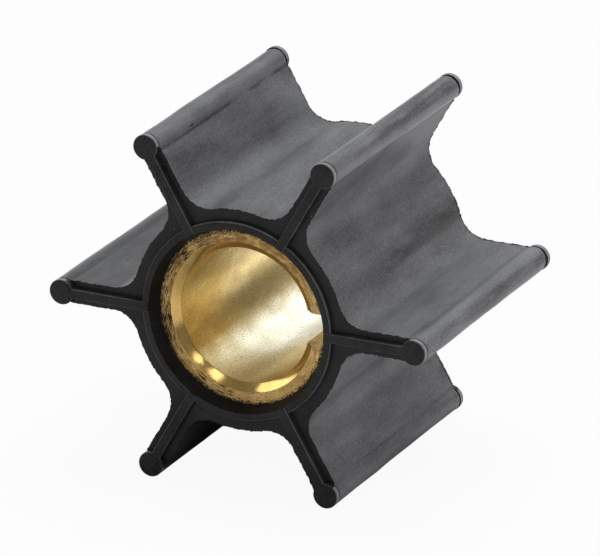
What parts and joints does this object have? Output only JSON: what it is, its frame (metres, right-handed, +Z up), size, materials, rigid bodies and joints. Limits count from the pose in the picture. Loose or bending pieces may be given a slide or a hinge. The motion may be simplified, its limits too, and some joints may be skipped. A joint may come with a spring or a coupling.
{
  "type": "rubber pump impeller",
  "caption": "Flexible marine pump impeller: black rubber hub with radial bulb-tipped vanes and raised sealing beads, moulded round a keyed brass bush.",
  "frame": {"origin": "centre of the bore at mid-length", "axes": "+Y along the shaft bore, +X along the vane beside the key slot, +Z up as it lies on two vanes"},
  "size_m": [0.0584, 0.0412, 0.0512],
  "materials": {
    "rubber": "satin black moulded rubber with a pale bloom on the flanks",
    "brass": "turned brass with a satin bore and a bright chamfer"
  },
  "bodies": {
    "root": {"rubber_body": "rubber", "brass_bush": "brass"}
  },
  "joints": []
}
